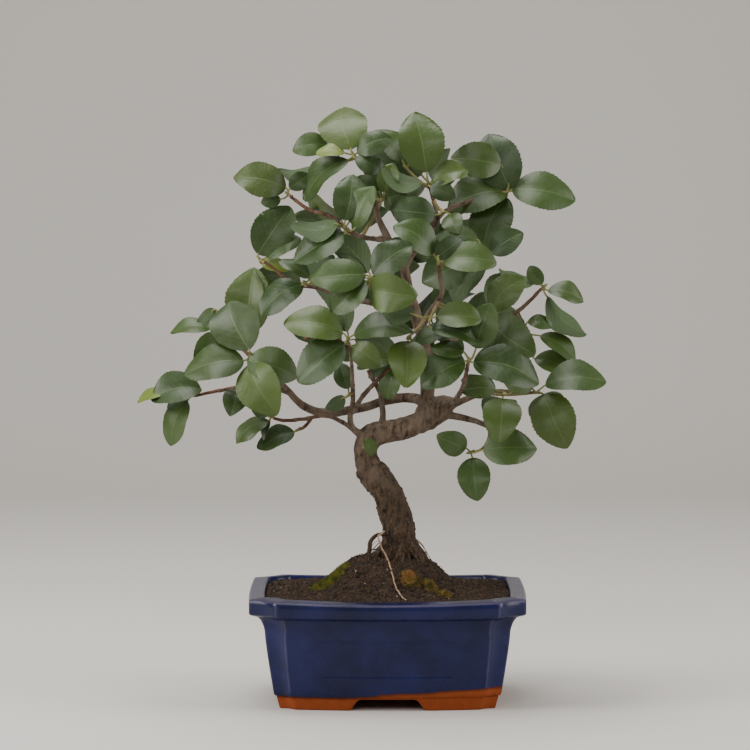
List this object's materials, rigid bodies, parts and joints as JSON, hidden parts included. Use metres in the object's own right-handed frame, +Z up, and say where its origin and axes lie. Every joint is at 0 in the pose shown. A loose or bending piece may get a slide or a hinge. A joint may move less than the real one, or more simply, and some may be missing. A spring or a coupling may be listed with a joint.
{
  "type": "bonsai tree in a pot",
  "caption": "Small broad-crowned bonsai with a crooked trunk and leafy shoots, planted in a mossy mound in a blue glazed rectangular pot on corner feet.",
  "frame": {"origin": "middle of the underside of the whole object's box, on the surface that the pot stands on", "axes": "+Z up, +X to the right seen from the front, -Y towards the front"},
  "size_m": [0.262, 0.1558, 0.3305],
  "materials": {
    "glaze": "gloss",
    "soil": "matte",
    "screen": "matte",
    "moss_green": "matte",
    "moss_gold": "matte",
    "bark": "matte",
    "leaf": "satin"
  },
  "bodies": {
    "root": {"drain_screen_left": "screen", "drain_screen_right": "screen", "moss_gold_left": "moss_gold", "moss_gold_middle": "moss_gold", "moss_gold_right": "moss_gold", "moss_green": "moss_green", "pot": "glaze", "rear_crown_low": "leaf", "rear_crown_middle": "leaf", "rear_crown_right": "leaf", "rear_front_left": "leaf", "rear_front_low": "leaf", "rear_front_right": "leaf", "rear_heart": "leaf", "rear_heart_right": "leaf", "rear_left_middle": "leaf", "rear_right_end": "leaf", "rear_right_fan": "leaf", "rear_right_front": "leaf", "rear_right_middle": "leaf", "rear_right_under": "leaf", "rear_twig_leaf": "leaf", "rear_upper_front": "leaf", "shoot_crown_back": "leaf", "shoot_crown_low": "leaf", "shoot_crown_middle": "leaf", "shoot_crown_right": "leaf", "shoot_elbow_leaf": "leaf", "shoot_fork_leaf": "leaf", "shoot_front_left": "leaf", "shoot_front_low": "leaf", "shoot_front_right": "leaf", "shoot_heart": "leaf", "shoot_heart_right": "leaf", "shoot_left_front": "leaf", "shoot_left_high": "leaf", "shoot_left_middle": "leaf", "shoot_left_rear": "leaf", "shoot_left_spur": "leaf", "shoot_left_tip": "leaf", "shoot_left_under": "leaf", "shoot_right_end": "leaf", "shoot_right_fan": "leaf", "shoot_right_front": "leaf", "shoot_right_low": "leaf", "shoot_right_middle": "leaf", "shoot_right_side": "leaf", "shoot_right_top": "leaf", "shoot_right_under": "leaf", "shoot_right_wing": "leaf", "shoot_top": "leaf", "shoot_top_left": "leaf", "shoot_twig_leaf": "leaf", "shoot_upper_front": "leaf", "shoot_upper_left": "leaf", "soil": "soil", "trunk": "bark"}
  },
  "joints": []
}
